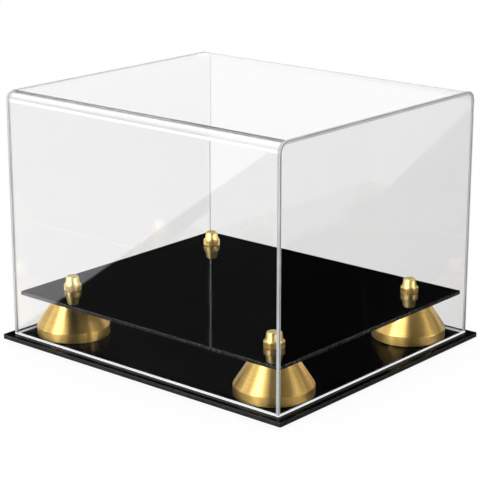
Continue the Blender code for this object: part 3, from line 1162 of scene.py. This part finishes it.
@dataclass
class BlackPlate:
    """A black sheet with rounded edges and a hole on each post's axis.

    One that isn't mirrored is left out of what gloss and metal show, so that the risers below it
    mirror the studio and not its black underside.
    """

    name: str
    node: str
    lathe: Lathe
    axes: list[Point]
    face: BlackSheet
    edge: BlackEdge
    countersunk: bool
    mirrored: bool
    corner_radius: float = 1.5 * MM
    corner_segments: int = 8
    edge_radius: float = 0.35 * MM
    edge_segments: int = 3
    edge_tilt: float = 0.4
    bore: float = 4.8 * MM
    bore_sides: int = 48
    seat: float = 8.8 * MM
    seat_rim: float = 0.5 * MM
    overrun: float = 1.0 * MM

    def blank(self) -> bpy.types.Object:
        """Makes the sheet before it is drilled.

        Returns:
            The sheet, glossy on both faces and satin round its edge.
        """
        low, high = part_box(self.node)
        reach_x, reach_y = high.x - self.corner_radius, high.y - self.corner_radius
        outline: list[Point] = []
        for quarter, (sign_x, sign_y) in enumerate(((1, 1), (-1, 1), (-1, -1), (1, -1))):
            outline += arc((sign_x * reach_x, sign_y * reach_y), self.corner_radius,
                           90 * quarter, 90 * quarter + 90, self.corner_segments)
        bm = bmesh.new()
        floor = bm.faces.new([bm.verts.new((x, y, low.z)) for x, y in outline])
        raised = bmesh.ops.extrude_face_region(bm, geom=[floor])["geom"]
        moved = [item for item in raised if isinstance(item, bmesh.types.BMVert)]
        bmesh.ops.translate(bm, verts=moved, vec=(0, 0, high.z - low.z))
        rims = [e for e in bm.edges if abs(e.verts[0].co.z - e.verts[1].co.z) < SAME_PLACE]
        bmesh.ops.bevel(bm, geom=rims, offset=self.edge_radius, segments=self.edge_segments, profile=0.5,
                        affect="EDGES")
        bmesh.ops.recalc_face_normals(bm, faces=bm.faces)
        for face in bm.faces:
            face.material_index = 1 if abs(face.normal.z) < self.edge_tilt else 0
        return object_from(self.name, bm, [self.face, self.edge])

    def drill(self, axis: Point) -> bpy.types.Object:
        """Turns the cutter for one hole.

        Args:
            axis: the hole's place in x and y.

        Returns:
            The cutter.
        """
        low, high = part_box(self.node)
        bore, seat = self.bore / 2, self.seat / 2
        outline = [(0.0, high.z + self.overrun), (bore, high.z + self.overrun)]
        if self.countersunk:
            rim = low.z + self.seat_rim
            outline += [(bore, rim + seat - bore), (seat, rim), (seat, low.z - self.overrun)]
        else:
            outline.append((bore, low.z - self.overrun))
        outline.append((0.0, low.z - self.overrun))
        return self.lathe.turn("hole_cutter", outline, axis, self.face, self.bore_sides)

    def build(self) -> None:
        """Makes and drills the plate."""
        plate = subtract(self.blank(), [self.drill(axis) for axis in self.axes])
        plate.visible_glossy = self.mirrored
        fit(plate, "stand", [self.node], Slot.BLACK)


@dataclass
class Feet:
    """Four rubber bumpers under the base."""

    lathe: Lathe
    sole_diameter: float = 10.0 * MM
    edge_radius: float = 0.5 * MM
    edge_start: float = 10.0
    edge_segments: int = 5
    sides: int = 48

    def build(self) -> None:
        """Turns one bumper and puts a copy at each corner."""
        nodes = [f"foot_{number}" for number in CORNERS]
        boxes = [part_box(node) for node in nodes]
        low, high = boxes[0]
        radius, sole, edge = (high.x - low.x) / 2, self.sole_diameter / 2, self.edge_radius
        outline = [(0.0, high.z), (radius, high.z)]
        outline += arc((sole - edge, low.z + edge), edge, self.edge_start, -90, self.edge_segments)
        outline.append((0.0, low.z))
        pattern = self.lathe.turn("bumper_pattern", outline, (0.0, 0.0), RUBBER, self.sides)
        centres = [((a.x + b.x) / 2, (a.y + b.y) / 2, 0.0) for a, b in boxes]
        mesh = bpy.data.meshes.new("bumper_feet")
        mesh.from_pydata(centres, [], [])
        feet = add_object("bumper_feet", mesh)
        copies_tree().use(feet, {"Pattern": pattern, "Finish": RUBBER.material()})
        bake(feet)
        remove(pattern)
        fit(feet, "stand", nodes, Slot.RUBBER)


# ---------------------------------------------------------------- studio


@dataclass(frozen=True)
class Softbox:
    """A soft light that only reflections see, placed by its direction from the case.

    Bearings are degrees to the right of the direction to the camera; heights are degrees above
    the horizon.
    """

    bearing: float
    half_width: float
    low: float
    high: float
    strength: float
    side_blur: float = 5.0
    end_blur: float = 5.0


@dataclass
class Studio:
    """Camera, floor, lights and the surroundings that gloss and metal mirror."""

    azimuth: float = 40.49
    elevation: float = 16.27
    distance: float = 1.472
    lens: float = 127.44
    film_width: float = 36.0
    clip: Pair = (0.05, 100.0)
    target: Vector3 = (0.0011, -0.0019, 0.0925)
    dark: str = "#0B0B0C"
    boxes: tuple[Softbox, ...] = (
        Softbox(-60, 44, -16, 12, 4.6, side_blur=4, end_blur=2),
        Softbox(64, 38, -16, 12, 3.4, side_blur=4, end_blur=2),
        Softbox(-50, 12, -16, 24, 6.0, side_blur=8, end_blur=3),
        Softbox(66, 12, -16, 20, 4.0, side_blur=8, end_blur=3),
        Softbox(-39, 25, 12, 24, 2.0, side_blur=3, end_blur=3),
        Softbox(-110, 16, -12, 34, 0.9, side_blur=8, end_blur=6),
        Softbox(-56, 9, 22, 78, 7.0, side_blur=14, end_blur=8),
        Softbox(-72, 48, 26, 66, 1.2, side_blur=14, end_blur=5),
        # These three end just below the height that the platform mirrors, and the cover's top mirrors them.
        Softbox(180, 62, -12, 14.2, 1.0, side_blur=10, end_blur=0.9),
        Softbox(5, 26, 6.0, 13.2, 1.0, side_blur=6, end_blur=0.9),
        Softbox(110, 12, 6.0, 13.2, 1.0, side_blur=6, end_blur=0.9),
        Softbox(180, 80, 34, 72, 1.1, side_blur=12, end_blur=6),
        Softbox(0, 180, 78, 100, 0.8, end_blur=6),
    )
    floor_size: float = 30.0
    floor_drop: float = 0.1 * MM
    paper: str = "#F4F4F2"
    paper_glow: float = 0.92
    sheet_edge: tuple[Point, Point] = ((-0.20, -0.225), (-0.44, -0.831))
    sheet_blur: float = 3.0 * MM
    sheet_level: float = 1.42
    table_reach: Pair = (0.4, 1.6)
    table_levels: Pair = (0.003, 0.12)
    front_reach: Pair = (-0.12, -0.16)
    front_level: float = 0.05
    under_reach: Pair = (0.96, 0.9)
    under_level: float = 0.6
    table_end: Pair = (1.4, 1.6)
    panel_place: Vector3 = (0.35, 0.03, 0.24)
    panel_size: Pair = (0.36, 0.12)
    panel_strength: float = 6.0
    panel_passes: float = 3.5
    card_reach: tuple[Pair, Pair] = ((-0.104, 0.01), (-0.125, -0.02))
    card_gap: float = 0.05 * MM
    soft_lamps: tuple[tuple[str, Vector3, float], ...] = (
        ("key_lamp", (-1.2, -1.4, 2.2), 10.0),
        ("fill_lamp", (1.8, -0.6, 1.8), 5.0),
    )
    lamp_size: float = 1.6

    def camera(self) -> None:
        """Puts the camera in its place and makes it the scene's."""
        data = bpy.data.cameras.new("camera")
        data.lens, data.sensor_width = self.lens, self.film_width
        data.clip_start, data.clip_end = self.clip
        camera = add_object("camera", data)
        a, e = math.radians(self.azimuth), math.radians(self.elevation)
        back = Vector((math.sin(a) * math.cos(e), -math.cos(a) * math.cos(e), math.sin(e)))
        camera.location = Vector(self.target) + back * self.distance
        camera.rotation_euler = (-back).to_track_quat("-Z", "Y").to_euler()
        bpy.context.scene.camera = camera

    def is_mirrored(self, tree: bpy.types.NodeTree) -> bpy.types.NodeSocket:
        """1 on a ray that something has mirrored on its way, or else 0."""
        return maths(tree, "GREATER_THAN", add_node(tree, "ShaderNodeLightPath").outputs["Glossy Depth"], 0.5)

    def glow(self, tree: bpy.types.NodeTree, box: Softbox, bearing: Any, height: Any) -> bpy.types.NodeSocket:
        """Works out what one softbox adds in a direction.

        Args:
            tree: the world's tree.
            box: the softbox.
            bearing: the direction's bearing, in degrees.
            height: its height, in degrees.

        Returns:
            The colour.
        """
        away = maths(tree, "WRAP", maths(tree, "SUBTRACT", bearing, box.bearing), 180.0, -180.0)
        side = smooth_step(tree, maths(tree, "ABSOLUTE", away), box.half_width + box.side_blur,
                           box.half_width - box.side_blur)
        low = smooth_step(tree, height, box.low - box.end_blur, box.low + box.end_blur)
        high = smooth_step(tree, height, box.high + box.end_blur, box.high - box.end_blur)
        share = maths(tree, "MULTIPLY", maths(tree, "MULTIPLY", side, low), high)
        return vector_maths(tree, "SCALE", {0: (box.strength, box.strength, box.strength), "Scale": share})

    def world(self) -> None:
        """White all round for what is seen straight or through glass, softboxes for what is mirrored."""
        world = bpy.data.worlds.new("studio")
        world.use_nodes = True
        world.cycles.sampling_method = "NONE"
        bpy.context.scene.world = world
        tree = world.node_tree
        tree.nodes.clear()
        place = add_node(tree, "ShaderNodeTexCoord")
        at = add_node(tree, "ShaderNodeSeparateXYZ", None, {0: place.outputs["Generated"]})
        turn = maths(tree, "DEGREES", maths(tree, "ARCTAN2", at.outputs[1], at.outputs[0]))
        bearing = maths(tree, "SUBTRACT", turn, self.azimuth - 90)
        height = maths(tree, "DEGREES", maths(tree, "ARCSINE", at.outputs[2]))
        total = linear(self.dark)[:3]
        for box in self.boxes:
            total = vector_maths(tree, "ADD", {0: total, 1: self.glow(tree, box, bearing, height)})
        plain = add_node(tree, "ShaderNodeBackground", None, {"Color": (1, 1, 1, 1), "Strength": 1.0})
        mirrored = add_node(tree, "ShaderNodeBackground", None, {"Color": total, "Strength": 1.0})
        both = mixed(tree, self.is_mirrored(tree), plain, mirrored)
        tree.links.new(both.outputs[0], tree.nodes.new("ShaderNodeOutputWorld").inputs[0])

    @staticmethod
    def dress(obj: bpy.types.Object, name: str) -> bpy.types.NodeTree:
        """Gives an object of the studio an empty material, whose glow is found only by rays that hit it.

        Args:
            obj: the object.
            name: the material's name.

        Returns:
            The material's tree.
        """
        material = bpy.data.materials.new(name)
        material.use_nodes = True
        material.cycles.emission_sampling = "NONE"
        material.node_tree.nodes.clear()
        obj.data.materials.append(material)
        return material.node_tree

    def mirrored_level(self, tree: bpy.types.NodeTree, at: bpy.types.Node,
                       distance: bpy.types.NodeSocket) -> bpy.types.NodeSocket:
        """Works out how bright the floor is to what mirrors it: a dark table, a bright sheet beyond a line.

        Args:
            tree: the floor's tree.
            at: the node that gives x and y of a point of the floor.
            distance: the point's distance from the case's middle.

        Returns:
            The level.
        """
        first, second = Vector(self.sheet_edge[0]), Vector(self.sheet_edge[1])
        along = (second - first).normalized()
        across = Vector((along.y, -along.x))
        beyond = maths(tree, "SUBTRACT", maths(tree, "ADD", maths(tree, "MULTIPLY", at.outputs[0], across.x),
                                               maths(tree, "MULTIPLY", at.outputs[1], across.y)),
                       across.dot(first))
        sheet = smooth_step(tree, beyond, -self.sheet_blur, self.sheet_blur)
        table = smooth_step(tree, distance, *self.table_reach, *self.table_levels)
        front = smooth_step(tree, at.outputs[1], *self.front_reach, 0.0, self.front_level)
        table = maths(tree, "ADD", table, front)
        # Under the base, where only the underside mirrors the floor, it is bright enough to show the screws.
        ends = maths(tree, "DIVIDE", maths(tree, "ABSOLUTE", at.outputs[0]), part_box("base_plate")[1].x)
        sides = maths(tree, "DIVIDE", maths(tree, "ABSOLUTE", at.outputs[1]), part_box("base_plate")[1].y)
        edge = maths(tree, "MAXIMUM", ends, sides)
        under = smooth_step(tree, edge, *self.under_reach, 0.0, self.under_level)
        table = maths(tree, "MAXIMUM", table, under)
        return maths(tree, "MAXIMUM", maths(tree, "MULTIPLY", sheet, self.sheet_level), table)

    def floor(self) -> None:
        """A plain pale floor. What mirrors it sees the table and the sheet, and past the table's end."""
        half = self.floor_size / 2
        floor = add_sheet("floor", [(-half, -half, 0), (half, -half, 0), (half, half, 0), (-half, half, 0)])
        floor.location.z = -self.floor_drop
        tree = self.dress(floor, "pale_paper")
        place = add_node(tree, "ShaderNodeTexCoord").outputs["Object"]
        at = add_node(tree, "ShaderNodeSeparateXYZ", None, {0: place})
        length = add_node(tree, "ShaderNodeVectorMath", {"operation": "LENGTH"}, {0: place})
        distance = length.outputs["Value"]
        level = self.mirrored_level(tree, at, distance)
        near = add_node(tree, "ShaderNodeEmission", None, {"Strength": level})
        clear = add_node(tree, "ShaderNodeBsdfTransparent")
        mirrored = mixed(tree, smooth_step(tree, distance, *self.table_end), near, clear)
        paper = add_node(tree, "ShaderNodeBsdfDiffuse", None, {"Color": linear(self.paper)})
        white = add_node(tree, "ShaderNodeEmission", None, {"Strength": 1.0})
        both = mixed(tree, self.is_mirrored(tree), mixed(tree, self.paper_glow, paper, white), mirrored)
        # Seen from below, the floor lets the underside show.
        below = add_node(tree, "ShaderNodeNewGeometry").outputs["Backfacing"]
        whole = mixed(tree, below, both, clear)
        tree.links.new(whole.outputs[0], tree.nodes.new("ShaderNodeOutputMaterial").inputs[0])

    @staticmethod
    def only_mirrored(obj: bpy.types.Object) -> None:
        """Leaves an object of the studio to be seen in gloss alone."""
        obj.visible_camera = obj.visible_diffuse = obj.visible_transmission = False
        obj.visible_shadow = False

    def side_panel(self) -> None:
        """A small light panel close by on the right, which the metal under the cover mirrors."""
        y, z = self.panel_size[0] / 2, self.panel_size[1] / 2
        panel = add_sheet("side_panel", [(0, -y, -z), (0, y, -z), (0, y, z), (0, -y, z)])
        panel.location = self.panel_place
        tree = self.dress(panel, "panel_light")
        light = add_node(tree, "ShaderNodeEmission", None, {"Strength": self.panel_strength})
        # A ray that metal mirrors has passed the cover twice, in and out, and each pass has two faces.
        faces = add_node(tree, "ShaderNodeLightPath").outputs["Transmission Depth"]
        clear = add_node(tree, "ShaderNodeBsdfTransparent")
        both = mixed(tree, maths(tree, "GREATER_THAN", faces, self.panel_passes), clear, light)
        tree.links.new(both.outputs[0], tree.nodes.new("ShaderNodeOutputMaterial").inputs[0])
        self.only_mirrored(panel)

    def under_shade(self) -> None:
        """A dark card under the platform, which the front left post mirrors on its inner side."""
        (x0, x1), (y0, y1) = self.card_reach
        card = add_sheet("under_shade", [(x0, y0, 0), (x1, y0, 0), (x1, y1, 0), (x0, y1, 0)])
        card.location.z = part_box("platform")[0].z - self.card_gap
        card.data.materials.append(DULL_EDGE.material())
        self.only_mirrored(card)

    def lamps(self) -> None:
        """Two large soft lamps for what isn't glossy."""
        for name, place, watts in self.soft_lamps:
            data = bpy.data.lights.new(name, "AREA")
            data.energy, data.size = watts, self.lamp_size
            lamp = add_object(name, data)
            lamp.location = place
            lamp.rotation_euler = (-Vector(place)).to_track_quat("-Z", "Y").to_euler()
            lamp.visible_glossy = False
            lamp.visible_transmission = False

    def light_paths(self) -> None:
        """Lets a ray pass the many faces of a case of clear sheet, and keeps colours plain."""
        for name, value in RAY_SETTINGS.items():
            setattr(bpy.context.scene.cycles, name, value)
        bpy.context.scene.view_settings.view_transform = "Standard"

    def build(self) -> None:
        """Makes the whole studio."""
        self.camera()
        self.world()
        self.floor()
        self.side_panel()
        self.under_shade()
        self.lamps()
        self.light_paths()


def main() -> None:
    """Builds the case and its studio."""
    logging.basicConfig(level=logging.INFO, format="%(name)s: %(message)s")
    Studio().build()
    lathe = Lathe()
    grooves, threads = groove_tree(), thread_tree()
    posts = [Post(number, lathe, grooves, threads) for number in CORNERS]
    axes = [post.axis for post in posts]
    Cover().build()
    BlackPlate("gloss_base", "base_plate", lathe, axes, DULL_BLACK, DULL_EDGE, countersunk=True,
               mirrored=True).build()
    BlackPlate("gloss_platform", "platform", lathe, axes, GLOSS_BLACK, GLOSS_EDGE, countersunk=False,
               mirrored=False, edge_radius=0.3 * MM).build()
    for post in posts:
        post.build()
    Feet(lathe).build()


if __name__ == "__main__":
    main()
